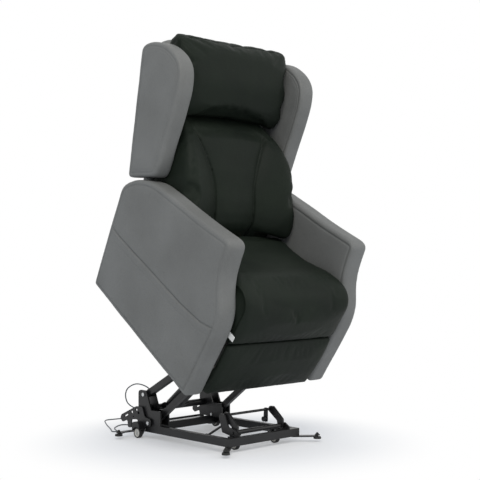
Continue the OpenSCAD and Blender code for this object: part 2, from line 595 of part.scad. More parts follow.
// ================= castor rocker =================
module castor_rocker() color(steel_black) on_base() difference() {
  union() {
    rod_x(rocker_pivot, -lug_x0 + 0.5, lug_x0 - 0.5, 18);
    rod_x(rocker_pivot, -lug_x0 - plate_t - 4, lug_x0 + plate_t + 4, 10);
    rod_x(rocker_top, -125, 125, 10);
    for (s = [-1, 1]) flip(s) {
      // cranked lever
      plate(117, 125) polygon(outline([
        [rocker_pivot[0] - 11, rocker_pivot[1] - 9, 8], [rocker_pivot[0] + 11, rocker_pivot[1] - 9, 8],
        [rocker_pivot[0] + 17, rocker_pivot[1] + 18, 8], [rocker_top[0] + 11, rocker_top[1] - 5, 9],
        [rocker_top[0] + 2, rocker_top[1] + 12, 10], [rocker_top[0] - 18, rocker_top[1] + 12, 8],
        [rocker_pivot[0] - 15, rocker_pivot[1] + 26, 10]]));
      // castor plate
      translate([92, rocker_pivot[0], 55]) cube([25, castor_stem_y - rocker_pivot[0] + 13, 6]);
    }
  }
  for (s = [-1, 1]) translate([s * castor_x, castor_stem_y, 40]) cylinder(d = 8 + 2 * run_gap, h = 40);
}
module rocker_roller() color(zinc) on_base() {
  difference() {
    plate(95, 99) polygon(outline([[-8, 78, 7], [14, 78, 8], [10, 134, 7], [-9, 134, 7]]));
    rod_x(rocker_top, 90, 104, 10 + 2 * run_gap);
  }
  rod_x([3, 90], 84, 95, 20);
}
module castor_fork(s) color(rubber_black) on_base() translate([s * castor_x, castor_stem_y, 0]) {
  translate([0, 0, 44]) cylinder(d = 8, h = 21);
  translate([0, 0, 44.5]) cylinder(d = 20, h = 10.3);
  translate([-wheel_w / 2 - 4, -14, 44]) cube([wheel_w + 8, 26, 3.5]);
  for (t = [-1, 1]) flip(t) difference() {
    plate(wheel_w / 2 + 1, wheel_w / 2 + 4) polygon(outline([
      [-castor_trail - 6, wheel_d / 2 - 6, 6], [-castor_trail + 6, wheel_d / 2 - 6, 6], [12, 38, 4],
      [12, 47, 0], [-14, 47, 0], [-castor_trail - 6, 34, 6]]));
    rod_x([-castor_trail, wheel_d / 2], 0, wheel_w, axle_d + 2 * run_gap);
  }
}
// Wheel on an axle that runs from x = a0 to a1 about its centre
module wheel(c, a0, a1) translate(c) rotate([0, 90, 0]) {
  difference() {
    cylinder(d = wheel_d, h = wheel_w, center = true);
    for (z = [-wheel_w / 2, wheel_w / 2]) translate([0, 0, z]) difference() {
      cylinder(d = wheel_d - 10, h = 5, center = true);
      cylinder(d = 14, h = 6, center = true);
    }
  }
  translate([0, 0, a0]) cylinder(d = axle_d, h = a1 - a0);
}
module front_wheel(s) color([0.5, 0.5, 0.5]) on_base()
  wheel([s * castor_x, castor_stem_y - castor_trail, wheel_d / 2], -wheel_w / 2 - 3.5, wheel_w / 2 + 3.5);

// ================= rear castor levers =================
lever_x = base_half_w + 4;
rear_wheel_x = lever_x + 9 + wheel_w / 2;
tie_bar_c = [489, 42];
module rear_castor_lever(s) color(steel_black) on_base() flip(s) {
  difference() {
    plate(lever_x, lever_x + 5) polygon(outline([
      [352, 50, 12], [384, 48, 10], [rear_wheel_c[0] - 10, 12, 9], [rear_wheel_c[0] + 12, 12, 9],
      [436, 70, 8], [476, 66, 5], [479, 32, 6], [499, 32, 6], [503, 62, 6], [534, 50, 9], [550, 62, 9],
      [543, 79, 9], [446, 122, 8], [408, 124, 9], [390, 84, 10], [352, 78, 12]]));
    rod_x(lower_pivot, lever_x - 1, lever_x + 6, pin_d + 2 * run_gap);
    rod_x(rear_wheel_c, lever_x - 1, lever_x + 6, axle_d + 2 * run_gap);
    for (p = [[444, 109], [430, 97], [474, 96]]) rod_x(p, lever_x - 1, lever_x + 6, 12);
    rod_x([464, 79], lever_x - 1, lever_x + 6, 6);
    for (k = [0 : 4]) rod_x([502 + 4 * k, 83 - 2 * k], lever_x - 1, lever_x + 6, 7);
  }
  // hood over the wheel
  difference() {
    plate(lever_x + 5, lever_x + 13 + wheel_w) polygon(outline([
      [rear_wheel_c[0] - 22, 34, 3], [rear_wheel_c[0] + 26, 28, 3], [rear_wheel_c[0] + 28, 63, 14],
      [rear_wheel_c[0] - 14, 66, 14]]));
    rod_x(rear_wheel_c, lever_x + 4, lever_x + 14 + wheel_w, wheel_d + 4);
  }
}
module lever_tie_bar() color(steel_black) on_base() rod_x(tie_bar_c, -lever_x + run_gap, lever_x - run_gap, 10);
module rear_wheel(s) color([0.5, 0.5, 0.5]) on_base() flip(s)
  wheel([rear_wheel_x, rear_wheel_c[0], rear_wheel_c[1]], lever_x + 1 - rear_wheel_x, wheel_w / 2 + 2);

// ================= leads =================
// Points of a smooth curve through pts, k to each span
function curve(pts, k) = let (n = len(pts) - 1) concat(
  [for (i = [0 : n - 1]) for (j = [0 : k - 1])
    let (a = pts[max(i - 1, 0)], b = pts[i], c = pts[i + 1], d = pts[min(i + 2, n)], t = j / k)
    0.5 * (2 * b + (c - a) * t + (2 * a - 5 * b + 4 * c - d) * t * t + (3 * b - a - 3 * c + d) * t * t * t)],
  [pts[n]]);
// Round tube along a path; no part of the path runs along ref
module tube(path, d, ref, sides = 8) {
  n = len(path) - 1;
  skin([for (i = [0 : n]) let (
      t = path[min(i + 1, n)] - path[max(i - 1, 0)],
      u = cross(ref, t) / norm(cross(ref, t)), v = cross(t, u) / norm(t))
    [for (k = [0 : sides - 1]) path[i] + d / 2 * (cos(360 * k / sides) * u + sin(360 * k / sides) * v)]]);
}
lead_z = lead_d / 2 + 0.3;
// Spare loop of the actuator lead, both ends clipped to the rear cross tube
loop_route = let (r = cross_d / 2 + 1.5) [
  [-113, actuator_pivot[0] + 2, actuator_pivot[1] + r - 0.2], [-114, 420, 138], [-115, 446, 172], [-116, 488, 192],
  [-118, 548, 196], [-120, 600, 174], [-122, 614, 143], [-123, 597, 112], [-124, 550, 97], [-125, 505, 99],
  [-126, 462, 107], [-127, actuator_pivot[0] + r - 0.2, actuator_pivot[1] - 2]];
// Supply lead, out of the rear rail, round on the floor behind the base and back
floor_route = [
  [60, base_rear, 40], [60, 412, 39], [64, 438, 27], [72, 466, 10], [80, 500, lead_z], [98, 590, lead_z],
  [106, 690, lead_z], [96, 780, lead_z], [64, 830, lead_z], [27, 846, lead_z], [-8, 853, lead_z],
  [-38, 856, lead_z], [-66, 834, lead_z], [-94, 790, lead_z], [-121, 745, lead_z], [-150, 691, lead_z],
  [-178, 640, lead_z], [-198, 609, lead_z], [-203, 594, lead_z], [-194, 583, lead_z], [-182, 588, lead_z],
  [-176, 606, lead_z], [-146, 658, lead_z], [-103, 693, lead_z], [-72, 706, lead_z], [-54, 692, lead_z],
  [-42, 640, lead_z], [-34, 560, lead_z], [-30, 490, lead_z], [-29, 452, 14], [-28, 424, 34], [-28, base_rear, 40]];
module actuator_lead() color(rubber_black) on_base() tube(curve(loop_route, 3), lead_d, [1, 0, 0]);
module supply_lead() color(rubber_black) on_base()
  tube([for (p = curve(floor_route, 2)) [p[0], p[1], max(p[2], lead_z)]], lead_d, [0, 0, 1]);

rail_side(-1);  // rail_right
rail_side(1);  // rail_left
rail_cross(-base_front);  // rail_front
rail_cross(base_rear - rail_w);  // rail_rear
tower(-1);  // tower_right
tower(1);  // tower_left
rear_cross_tube();
outrigger_front(-1);  // outrigger_front_right
outrigger_front(1);  // outrigger_front_left
outrigger_rear(-1);  // outrigger_rear_right
outrigger_rear(1);  // outrigger_rear_left
stabiliser_feet();
rocker_lugs();
link_pins_base();
upper_link(-1);  // upper_link_right
upper_link(1);  // upper_link_left
lower_link(-1);  // lower_link_right
lower_link(1);  // lower_link_left
link_pins_lower();
link_pins_seat();
lift_actuator();
lift_motor();
lift_rod();
chassis(-1);  // chassis_right
chassis(1);  // chassis_left
chassis_tubes();
seat_box();
seat_cushion();
care_tab();
side_panel(-1);  // side_panel_right
side_panel(1);  // side_panel_left
back_arms();
back_lever_tube();
back_shell();
back_cushion();
head_pillow();
wing(-1);  // wing_right
wing(1);  // wing_left
back_actuator();
back_rod();
legrest_link(-1);  // legrest_link_right
legrest_link(1);  // legrest_link_left
legrest_strut(-1);  // legrest_strut_right
legrest_strut(1);  // legrest_strut_left
legrest_board();
legrest_pad();
castor_rocker();
rocker_roller();
castor_fork(-1);  // castor_fork_right
castor_fork(1);  // castor_fork_left
front_wheel(-1);  // front_wheel_right
front_wheel(1);  // front_wheel_left
rear_castor_lever(-1);  // rear_castor_lever_right
rear_castor_lever(1);  // rear_castor_lever_left
lever_tie_bar();
rear_wheel(-1);  // rear_wheel_right
rear_wheel(1);  // rear_wheel_left
actuator_lead();
supply_lead();
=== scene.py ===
import math

import bmesh
import bpy
import numpy as np
from mathutils import Matrix, Vector, noise


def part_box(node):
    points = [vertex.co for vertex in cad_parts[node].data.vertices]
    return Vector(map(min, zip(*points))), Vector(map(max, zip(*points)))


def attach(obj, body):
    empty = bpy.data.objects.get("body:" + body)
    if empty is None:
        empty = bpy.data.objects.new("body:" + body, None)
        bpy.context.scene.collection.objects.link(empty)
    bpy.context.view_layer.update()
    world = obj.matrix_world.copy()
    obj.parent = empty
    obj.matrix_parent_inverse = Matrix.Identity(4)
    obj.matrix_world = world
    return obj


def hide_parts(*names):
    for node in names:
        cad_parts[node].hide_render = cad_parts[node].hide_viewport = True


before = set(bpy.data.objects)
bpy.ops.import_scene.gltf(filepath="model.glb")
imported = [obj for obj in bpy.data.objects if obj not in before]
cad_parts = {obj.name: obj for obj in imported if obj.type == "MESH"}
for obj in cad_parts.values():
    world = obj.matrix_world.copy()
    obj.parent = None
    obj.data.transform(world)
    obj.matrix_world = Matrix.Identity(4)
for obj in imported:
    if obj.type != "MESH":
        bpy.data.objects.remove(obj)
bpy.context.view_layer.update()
scene = bpy.context.scene
scene.view_settings.view_transform = "Standard"


# ---- Camera ----
# A long lens at sitting height, a little off the chair's front right corner.
camera_data = bpy.data.cameras.new("camera")
camera_data.lens = 79.417
camera_data.sensor_width = 36.0
camera = bpy.data.objects.new("camera", camera_data)
camera.location = (-2.8525, -3.0661, 0.7379)
camera.rotation_euler = (math.radians(90.729), 0.0, math.radians(-43.729))
scene.collection.objects.link(camera)
scene.camera = camera


# ---- Leads ----
# Two thin round leads in dark grey PVC: a spare loop of the actuator's lead, clipped to the rear
# cross tube at both ends, and the supply lead, which lies on the floor behind the base.
def linear(hex_colour):
    """An sRGB hex colour as the linear RGBA that a shader takes."""
    values = [int(hex_colour[i:i + 2], 16) / 255 for i in (1, 3, 5)]
    return [v / 12.92 if v <= 0.04045 else ((v + 0.055) / 1.055) ** 2.4 for v in values] + [1.0]


def node(tree, kind, inputs=None, **settings):
    """Adds a shader node; inputs gives each socket a value or another node's output."""
    made = tree.nodes.new("ShaderNode" + kind)
    for name, value in settings.items():
        setattr(made, name, value)
    for socket, value in (inputs or {}).items():
        if isinstance(value, bpy.types.NodeSocket):
            tree.links.new(value, made.inputs[socket])
        else:
            made.inputs[socket].default_value = value
    return made


def shader_of(name, **constants):
    """A new material and its Principled shader, with the values that are the same all over."""
    made = bpy.data.materials.new(name)
    made.use_nodes = True
    shader = made.node_tree.nodes["Principled BSDF"]
    for socket, value in constants.items():
        shader.inputs[socket.replace("_", " ")].default_value = value
    return made, made.node_tree, shader


def finish(name, tones, roughness, per_metre, detail, drawn=None, relief=None, **constants):
    """A material whose tone, roughness and bump follow one mottled pattern. per_metre is how many of
    its patches lie in a metre, drawn stretches them, relief is the bump's strength and its height."""
    made, tree, shader = shader_of(name, **constants)
    place = node(tree, "TexCoord").outputs["Object"]
    if drawn:
        place = node(tree, "Mapping", {"Vector": place, "Scale": drawn}).outputs["Vector"]
    mottle = node(tree, "TexNoise", {"Vector": place, "Scale": per_metre, "Detail": detail})
    tone = node(tree, "ValToRGB", {"Fac": mottle.outputs["Fac"]})
    for stop, hex_colour in zip(tone.color_ramp.elements, tones):
        stop.color = linear(hex_colour)
    tree.links.new(tone.outputs["Color"], shader.inputs["Base Color"])
    dull = node(tree, "MapRange", {"Value": mottle.outputs["Fac"], "To Min": roughness[0],
                                   "To Max": roughness[1]})
    tree.links.new(dull.outputs["Result"], shader.inputs["Roughness"])
    if relief:
        bump = node(tree, "Bump", {"Height": mottle.outputs["Fac"], "Strength": relief[0],
                                   "Distance": relief[1]})
        tree.links.new(bump.outputs["Normal"], shader.inputs["Normal"])
    return made


# Soft PVC sheath, extruded: dark slate grey, a dull shine, faint handling marks
pvc_sheath = finish("pvc_sheath", ("#3a4045", "#565d63"), (0.38, 0.55), 40.0, 3.0, IOR=1.52)

LEAD_D = 0.005
BASE_Y = 0.1307             # the routes are measured from a datum this far in front of the origin
FLOOR_LIE = LEAD_D / 2 + 0.0003
TUBE_Y, TUBE_Z = 0.415, 0.112        # axis of the rear cross tube
CLIP_R = 0.0125 + 0.0015 - 0.0002    # from that axis to the clip's end of the lead
RAIL_REAR = 0.396
loop_route = [
    (-0.113, TUBE_Y + 0.002, TUBE_Z + CLIP_R), (-0.114, 0.420, 0.138), (-0.115, 0.446, 0.172),
    (-0.116, 0.488, 0.192), (-0.118, 0.548, 0.196), (-0.120, 0.600, 0.174), (-0.122, 0.614, 0.143),
    (-0.123, 0.597, 0.112), (-0.124, 0.550, 0.097), (-0.125, 0.505, 0.099), (-0.126, 0.462, 0.107),
    (-0.127, TUBE_Y + CLIP_R, TUBE_Z - 0.002)]
floor_route = [
    (0.060, RAIL_REAR, 0.040), (0.060, 0.412, 0.039), (0.064, 0.438, 0.027), (0.072, 0.466, 0.010),
    (0.080, 0.500, FLOOR_LIE), (0.098, 0.590, FLOOR_LIE), (0.106, 0.690, FLOOR_LIE),
    (0.096, 0.780, FLOOR_LIE), (0.064, 0.830, FLOOR_LIE), (0.027, 0.846, FLOOR_LIE),
    (-0.008, 0.853, FLOOR_LIE), (-0.038, 0.856, FLOOR_LIE), (-0.066, 0.834, FLOOR_LIE),
    (-0.094, 0.790, FLOOR_LIE), (-0.121, 0.745, FLOOR_LIE), (-0.150, 0.691, FLOOR_LIE),
    (-0.178, 0.640, FLOOR_LIE), (-0.198, 0.609, FLOOR_LIE), (-0.203, 0.594, FLOOR_LIE),
    (-0.194, 0.583, FLOOR_LIE), (-0.182, 0.588, FLOOR_LIE), (-0.176, 0.606, FLOOR_LIE),
    (-0.146, 0.658, FLOOR_LIE), (-0.103, 0.693, FLOOR_LIE), (-0.072, 0.706, FLOOR_LIE),
    (-0.054, 0.692, FLOOR_LIE), (-0.042, 0.640, FLOOR_LIE), (-0.034, 0.560, FLOOR_LIE),
    (-0.030, 0.490, FLOOR_LIE), (-0.029, 0.452, 0.014), (-0.028, 0.424, 0.034), (-0.028, RAIL_REAR, 0.040)]


def curve_through(points, steps):
    """Points of a smooth curve through the given ones."""
    ends = [points[0]] + list(points) + [points[-1]]
    path = []
    for a, b, c, d in zip(ends, ends[1:], ends[2:], ends[3:]):
        a, b, c, d = Vector(a), Vector(b), Vector(c), Vector(d)
        for k in range(steps):
            t = k / steps
            path.append(0.5 * (2 * b + (c - a) * t + (2 * a - 5 * b + 4 * c - d) * t ** 2
                               + (3 * b - a - 3 * c + d) * t ** 3))
    return path + [Vector(points[-1])]


def lead(name, route, node_name):
    """A round lead along a route, held by the base at both ends."""
    path = [Vector((p.x, p.y - BASE_Y, max(p.z, FLOOR_LIE))) for p in curve_through(route, 4)]
    curve = bpy.data.curves.new(name, "CURVE")
    curve.dimensions = "3D"
    curve.bevel_depth = LEAD_D / 2
    curve.bevel_resolution = 3
    curve.use_fill_caps = True
    spline = curve.splines.new("POLY")
    spline.points.add(len(path) - 1)
    for point, co in zip(spline.points, path):
        point.co = (*co, 1.0)
    piece = bpy.data.objects.new(name, curve)
    scene.collection.objects.link(piece)
    curve.materials.append(pvc_sheath)
    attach(piece, "base")
    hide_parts(node_name)


lead("actuator_lead_loop", loop_route, "actuator_lead")
lead("supply_lead_run", floor_route, "supply_lead")


# ---- Base frame ----
# Rails of rectangular steel tube, towers of plate, stabilisers of flat bar and a round cross tube
# behind, welded together and powder-coated satin black in one piece.
def dress(material, names):
    """Gives CAD nodes their material."""
    for name in names.split():
        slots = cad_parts[name].data.materials
        slots.clear()
        slots.append(material)


# Powder coat on steel: near-black polyester, satin, with the fine orange peel of a sprayed powder.
# The peel is drawn at 3 mm, coarser than the real 1 mm, so that it shows.
powder_coat, tree, shader = shader_of("powder_coated_steel", IOR=1.5, Specular_IOR_Level=0.35)
place = node(tree, "TexCoord")
cloud = node(tree, "TexNoise", {"Vector": place.outputs["Object"], "Scale": 9.0, "Detail": 4.0})
tone = node(tree, "ValToRGB", {"Fac": cloud.outputs["Fac"]})
tone.color_ramp.elements[0].position = 0.3
tone.color_ramp.elements[0].color = linear("#151516")
tone.color_ramp.elements[1].position = 0.7
tone.color_ramp.elements[1].color = linear("#202021")
tree.links.new(tone.outputs["Color"], shader.inputs["Base Color"])
dull = node(tree, "MapRange", {"Value": cloud.outputs["Fac"], "To Min": 0.3, "To Max": 0.45})
tree.links.new(dull.outputs["Result"], shader.inputs["Roughness"])
peel = node(tree, "TexNoise", {"Vector": place.outputs["Object"], "Scale": 330.0, "Detail": 2.0})
bump = node(tree, "Bump", {"Height": peel.outputs["Fac"], "Strength": 0.18, "Distance": 0.0004})
tree.links.new(bump.outputs["Normal"], shader.inputs["Normal"])
dress(powder_coat, "rail_right rail_left rail_front rail_rear tower_right tower_left rear_cross_tube"
      " outrigger_front_right outrigger_front_left outrigger_rear_right outrigger_rear_left rocker_lugs")


# ---- Stabiliser feet ----
# Four moulded rubber buffers, each held under its bar by a through stud and nut: dull black, with a
# bloom of dust in the fine pores of the rubber.
moulded_rubber = finish("moulded_rubber", ("#121212", "#252524"), (0.6, 0.85), 120.0, 5.0,
                        relief=(0.25, 0.0006), IOR=1.52)
dress(moulded_rubber, "stabiliser_feet")


# ---- Pins and rods ----
# Turned steel, zinc-plated and passivated: the link pins and both actuator rods. The plating is pale
# and bright, with fine drawn lines along the X axis, in which most of the pins lie.
zinc_plate = finish("zinc_plated_steel", ("#a9abad", "#d3d5d6"), (0.22, 0.42), 1.0, 3.0,
                    drawn=(30.0, 400.0, 400.0), Metallic=1.0)
dress(zinc_plate, "link_pins_base link_pins_lower link_pins_seat lift_rod back_rod")


# ---- Lift links ----
# Two upper and two lower links in steel tube, coated like the base. They turn on pins at the towers
# and under the seat, and carry the seat unit up and forwards.
dress(powder_coat, "upper_link_right upper_link_left lower_link_right lower_link_left")


# ---- Actuators ----
# Linear actuators in moulded black glass-filled nylon, with a motor in its own can. The glass gives
# the black a faint grey fleck and a half-matt skin.
black_nylon = finish("moulded_black_nylon", ("#151617", "#2a2b2c"), (0.42, 0.6), 260.0, 4.0,
                     relief=(0.2, 0.0005), IOR=1.53)
dress(black_nylon, "lift_actuator lift_motor back_actuator")


# ---- Castor gear ----
# A cranked rocker in front and pedal levers behind, welded from steel and coated like the base. The
# front castors swivel in forks of moulded black nylon.
dress(powder_coat, "castor_rocker rocker_roller rear_castor_lever_right rear_castor_lever_left"
      " lever_tie_bar")
dress(black_nylon, "castor_fork_right castor_fork_left")


# ---- Castor wheels ----
# A soft black tyre moulded round a pale nylon hub that turns on a steel axle. The four wheels are
# alike, and only their axles differ in length.
def only(piece):
    """Selects and activates one object."""
    bpy.ops.object.select_all(action="DESELECT")
    piece.select_set(True)
    bpy.context.view_layer.objects.active = piece


def apply_modifier(piece, kind, **settings):
    """Adds a modifier to a piece and applies it."""
    modifier = piece.modifiers.new(kind, kind)
    for name, value in settings.items():
        setattr(modifier, name, value)
    only(piece)
    bpy.ops.object.modifier_apply(modifier=modifier.name)


def settle(piece):
    """Puts a piece's place into its mesh and leaves its object at the origin."""
    only(piece)
    bpy.ops.object.transform_apply(location=True, rotation=True, scale=True)
    return piece


def pick_faces(piece, wanted):
    """In edit mode, selects the faces whose centre and normal wanted() accepts."""
    mesh = bmesh.from_edit_mesh(piece.data)
    bpy.ops.mesh.select_mode(type="FACE")
    for face in mesh.faces:
        face.select_set(wanted(face.calc_center_median(), face.normal))
    mesh.select_flush_mode()
    bmesh.update_edit_mesh(piece.data)


# Moulded pale nylon of the hubs: a little yellowed, slightly glossy from its mould
pale_nylon = finish("moulded_pale_nylon", ("#b9b6ad", "#d5d2ca"), (0.35, 0.5), 60.0, 3.0, IOR=1.53)

WHEEL_R = 0.021
WHEEL_HALF = 0.008
TREAD_T = 0.0055


def disc(name, radius, depth, dish, rim, bevel):
    """A wheel part about the X axis at the origin, dished on both sides inside its rim."""
    bpy.ops.object.select_all(action="DESELECT")
    bpy.ops.mesh.primitive_cylinder_add(vertices=56, radius=radius, depth=2 * depth,
                                        rotation=(0, math.pi / 2, 0))
    piece = settle(bpy.context.object)
    piece.name = name
    for side in (-1, 1):
        only(piece)
        bpy.ops.object.mode_set(mode="EDIT")
        pick_faces(piece, lambda centre, normal: normal.x * side > 0.9)
        bpy.ops.mesh.inset(thickness=rim)
        bpy.ops.transform.translate(value=(-side * dish, 0, 0))
        bpy.ops.mesh.inset(thickness=(radius - rim) * 0.45)
        bpy.ops.transform.translate(value=(side * dish * 0.7, 0, 0))
        bpy.ops.object.mode_set(mode="OBJECT")
    apply_modifier(piece, "BEVEL", width=bevel, segments=3, limit_method="ANGLE")
    only(piece)
    bpy.ops.object.shade_smooth_by_angle(angle=math.radians(40))
    return piece


def ring(name, outer, inner, half, bevel):
    """A tyre about the X axis at the origin: a tube section with rounded shoulders."""
    bpy.ops.object.select_all(action="DESELECT")
    bpy.ops.mesh.primitive_cylinder_add(vertices=56, radius=outer, depth=2 * half, end_fill_type="NOTHING",
                                        rotation=(0, math.pi / 2, 0))
    piece = settle(bpy.context.object)
    piece.name = name
    apply_modifier(piece, "SOLIDIFY", thickness=outer - inner, offset=-1.0)
    apply_modifier(piece, "BEVEL", width=bevel, segments=4, limit_method="ANGLE")
    only(piece)
    bpy.ops.object.shade_smooth_by_angle(angle=math.radians(50))
    return piece


tyre_master = ring("tyre", outer=WHEEL_R, inner=WHEEL_R - TREAD_T, half=WHEEL_HALF, bevel=0.0022)
hub_master = disc("hub", radius=WHEEL_R - TREAD_T + 0.0002, depth=WHEEL_HALF - 0.001, dish=0.0032,
                  rim=0.0028, bevel=0.0006)
# How far each axle reaches from its wheel's middle, to the outside and to the inside
AXLE_REACH = {"front": (0.0115, 0.0115), "rear": (WHEEL_HALF + 0.002, 0.016)}


def wheel_part(name, piece, material, centre, body):
    """Puts a wheel's part at its place on its body."""
    piece.name = name
    piece.data.transform(Matrix.Translation(centre))
    piece.data.materials.append(material)
    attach(piece, body)


for body in ("front_wheel_right", "front_wheel_left", "rear_wheel_right", "rear_wheel_left"):
    low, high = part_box(body)
    outwards = -1 if body.endswith("right") else 1
    outside, inside = AXLE_REACH[body.split("_")[0]]
    centre = (low + high) / 2
    centre.x = (low.x + outside) if outwards < 0 else (high.x - outside)
    tyre = tyre_master.copy()
    hub = hub_master.copy()
    for piece, master in ((tyre, tyre_master), (hub, hub_master)):
        piece.data = master.data.copy()
        scene.collection.objects.link(piece)
    axle = disc(body + "_axle", radius=0.003, depth=(outside + inside) / 2, dish=0.0004, rim=0.0008,
                bevel=0.0004)
    wheel_part(body + "_tyre", tyre, moulded_rubber, centre, body)
    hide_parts(body)
    wheel_part(body + "_hub", hub, pale_nylon, centre, body)
    wheel_part(body + "_axle", axle, zinc_plate,
               centre + Vector((outwards * (outside - inside) / 2, 0, 0)), body)
for master in (tyre_master, hub_master):
    bpy.data.objects.remove(master)


# ---- Seat chassis ----
# Flat steel side plates and round cross tubes, coated like the base, bolted inside the seat box. The
# arms of the back and the links of the legrest are of the same steel and turn on them.
dress(powder_coat, "chassis_right chassis_left chassis_tubes back_arms back_lever_tube"
      " legrest_link_right legrest_link_left legrest_strut_right legrest_strut_left")


# ---- Seat box and legrest board ----
# Birch plywood, sawn and left bare: honey yellow, dull, with its grain along the width of the chair.
# The box carries the seat cushion, and the board the pad of the legrest.
birch_ply = finish("birch_plywood", ("#a98a5f", "#cbb083"), (0.6, 0.8), 1.0, 6.0,
                   drawn=(6.0, 90.0, 90.0), relief=(0.2, 0.0005), IOR=1.5)
dress(birch_ply, "seat_box legrest_board")


# ---- Seat cushion ----
# One block of foam under dark leatherette, which rolls over the front edge of the seat in a single
# panel and is sewn to a narrow side band.
SEAT_TILT = math.radians(35.8)
SEAT_CORNER = (0.3693, 0.619)        # y and z of the lower rear corner of the side panels


def to_seat(co):
    """World points as columns x, fwd (to the sitter's feet) and up, along the tilted seat."""
    dy, dz = co[:, 1] - SEAT_CORNER[0], co[:, 2] - SEAT_CORNER[1]
    c, s = math.cos(SEAT_TILT), math.sin(SEAT_TILT)
    return np.column_stack((co[:, 0], -dy * c - dz * s, -dy * s + dz * c))


def from_seat(place):
    """World points from columns x, fwd and up."""
    c, s = math.cos(SEAT_TILT), math.sin(SEAT_TILT)
    return np.column_stack((place[:, 0], SEAT_CORNER[0] - place[:, 1] * c - place[:, 2] * s,
                            SEAT_CORNER[1] - place[:, 1] * s + place[:, 2] * c))


def points_of(piece, what="co"):
    """A mesh's vertex positions, or its normals with what="normal", as an array."""
    values = np.empty(len(piece.data.vertices) * 3)
    if what == "co":
        piece.data.vertices.foreach_get("co", values)
    else:
        piece.data.vertex_normals.foreach_get("vector", values)
    return values.reshape(-1, 3)


def move_to(piece, co):
    """Writes a mesh's vertex positions."""
    piece.data.vertices.foreach_set("co", np.ascontiguousarray(co).ravel())
    piece.data.update()


def press(piece, outward):
    """Moves each vertex along its normal by its own amount, in metres."""
    move_to(piece, points_of(piece) + points_of(piece, "normal") * outward[:, None])


def cloud_at(co, patch, seed):
    """Smooth noise, about -1 to 1, at each point; patch is the size of its patches in metres."""
    return np.array([noise.noise(Vector(p) / patch + Vector((seed, seed, seed))) for p in co])


def soft_copy(name, source, voxel, smooth=6):
    """An even skin over a CAD solid, ready to be padded."""
    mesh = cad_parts[source].data.copy()
    mesh.name = name
    mesh.materials.clear()
    merged = bmesh.new()
    merged.from_mesh(mesh)
    bmesh.ops.remove_doubles(merged, verts=merged.verts, dist=0.00005)
    merged.to_mesh(mesh)
    merged.free()
    piece = bpy.data.objects.new(name, mesh)
    scene.collection.objects.link(piece)
    apply_modifier(piece, "REMESH", mode="VOXEL", voxel_size=voxel, use_smooth_shade=True)
    apply_modifier(piece, "SMOOTH", factor=0.5, iterations=smooth)
    return piece


def swell(piece, held, pressure, cap, slack=0.006):
    """Fills a cover with air: cloth under pressure, sewn down where held is true, moved no further
    than cap. slack is how much larger the cover is cut than its filling."""
    rest = points_of(piece)
    sewn = piece.vertex_groups.new(name="sewn")
    sewn.add([int(i) for i in np.nonzero(held)[0]], 1.0, "REPLACE")
    cloth = piece.modifiers.new("Cloth", "CLOTH")
    cover = cloth.settings
    cover.quality = 4
    cover.mass = 0.4
    cover.tension_stiffness = cover.compression_stiffness = 20
    cover.shear_stiffness = 8
    cover.bending_stiffness = 1.5
    cover.use_pressure = True
    cover.uniform_pressure_force = pressure
    cover.shrink_min = -slack
    cover.effector_weights.gravity = 0.0
    cover.vertex_group_mass = "sewn"
    for moment in range(1, 21):
        scene.frame_set(moment)
    shown = piece.evaluated_get(bpy.context.evaluated_depsgraph_get()).to_mesh()
    blown = np.empty(len(shown.vertices) * 3)
    shown.vertices.foreach_get("co", blown)
    way = blown.reshape(-1, 3) - rest
    far = np.maximum(np.linalg.norm(way, axis=1), 1e-9)
    piece.modifiers.remove(cloth)
    piece.vertex_groups.remove(sewn)
    scene.frame_set(1)
    move_to(piece, rest + way * (np.minimum(far, cap) / far)[:, None])
    apply_modifier(piece, "SMOOTH", factor=0.5, iterations=3)


def finer(piece):
    """One subdivision, smooth all over."""
    apply_modifier(piece, "SUBSURF", levels=1, render_levels=1)
    only(piece)
    bpy.ops.object.shade_smooth()


def valley(distance, width):
    """A rounded groove's depth, 1 at its middle and 0 beyond its half width."""
    return np.clip(1 - (np.abs(distance) / (width / 2)) ** 2, 0, 1) ** 1.5


